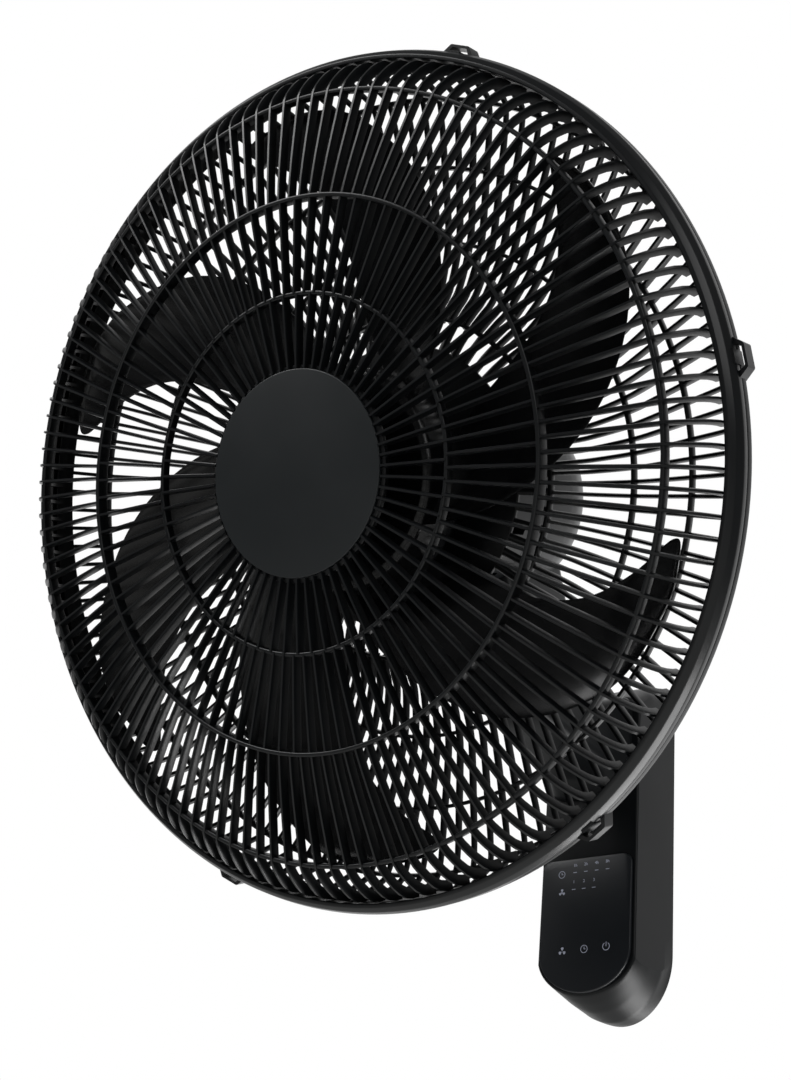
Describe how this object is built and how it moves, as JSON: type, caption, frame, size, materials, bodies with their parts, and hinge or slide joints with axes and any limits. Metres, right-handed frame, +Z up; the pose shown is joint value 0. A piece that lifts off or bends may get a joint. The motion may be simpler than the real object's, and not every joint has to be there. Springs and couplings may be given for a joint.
{
  "type": "wall mounted fan",
  "caption": "Wall fan with a round caged head that tilts and swings, scimitar blades, a motor housing, an arm and a slim wall unit with a touch panel.",
  "frame": {"origin": "centre of the wall plate's back face, on the wall plane", "axes": "+Z up, +Y into the wall, so the fan stands out and blows towards -Y; +X to the right seen from the front"},
  "size_m": [0.4588, 0.428, 0.4165],
  "materials": {
    "black_plastic": "satin",
    "gloss_black": "polished",
    "panel_grey": "satin",
    "steel": "brushed",
    "cast_aluminium": "as cast",
    "lamination_steel": "stamped",
    "copper_winding": "enamelled wire",
    "circuit_board": "solder mask",
    "component_blue": "moulded",
    "black_rubber": "matt"
  },
  "bodies": {
    "wall_unit": {"wall_plate": "steel", "front_housing": "gloss_black", "back_cover": "black_plastic", "cover_screw_1": "steel", "cover_screw_2": "steel", "cover_screw_3": "steel", "cover_screw_4": "steel", "cord_gland": "black_rubber", "control_panel": "panel_grey", "touch_board": "circuit_board", "ir_receiver": "gloss_black", "buzzer": "gloss_black", "ribbon_connector": "black_plastic", "power_board": "circuit_board", "run_capacitor": "component_blue", "transformer": "lamination_steel", "relay_1": "component_blue", "relay_2": "component_blue", "wall_arm": "gloss_black", "arm_screw_1": "steel", "arm_screw_2": "steel", "arm_screw_3": "steel", "arm_screw_4": "steel", "tilt_bolt": "steel", "tilt_nut": "steel"},
    "neck": {"tilt_neck": "black_plastic", "pan_pin": "steel"},
    "head": {"front_grille": "black_plastic", "badge": "panel_grey", "rear_grille": "black_plastic", "grille_nut": "black_plastic", "motor_front_cover": "black_plastic", "motor_rear_cover": "black_plastic", "stator_core": "lamination_steel", "front_winding": "copper_winding", "rear_winding": "copper_winding", "front_bearing": "steel", "rear_bearing": "steel", "front_bracket": "cast_aluminium", "rear_bracket": "cast_aluminium", "swing_motor": "steel"},
    "rotor": {"fan_blade": "black_plastic", "blade_nut": "black_plastic", "motor_shaft": "steel", "drive_pin": "steel", "rotor_core": "lamination_steel"},
    "crank": {"swing_crank": "steel"},
    "link": {"swing_link": "steel"}
  },
  "joints": [
    {"name": "tilt", "type": "hinge", "parent": "wall_unit", "child": "neck", "pos_m": [0, -0.15743, 0.05534], "axis": [1, 0, 0], "range_deg": [-25, 15]},
    {"name": "pan", "type": "hinge", "parent": "neck", "child": "head", "pos_m": [0, -0.17349, 0.08978], "axis": [0, -0.4226, 0.9063], "range_deg": [-40, 40]},
    {"name": "rotor_spin", "type": "hinge", "parent": "head", "child": "rotor", "pos_m": [0, -0.28962, 0.11286], "axis": [0, 0.9063, 0.4226], "continuous": true},
    {"name": "crank_turn", "type": "hinge", "parent": "head", "child": "crank", "pos_m": [0.004, -0.15022, 0.10614], "axis": [0, -0.4226, 0.9063], "range_deg": [-54, 54]},
    {"name": "link_turn", "type": "hinge", "parent": "crank", "child": "link", "pos_m": [0.016, -0.14769, 0.1007], "axis": [0, -0.4226, 0.9063], "range_deg": [-54, 54]}
  ],
  "couplings": [
    {"joint": "crank_turn", "follows": "pan", "ratio": -1.3333},
    {"joint": "link_turn", "follows": "pan", "ratio": 1.3333}
  ]
}
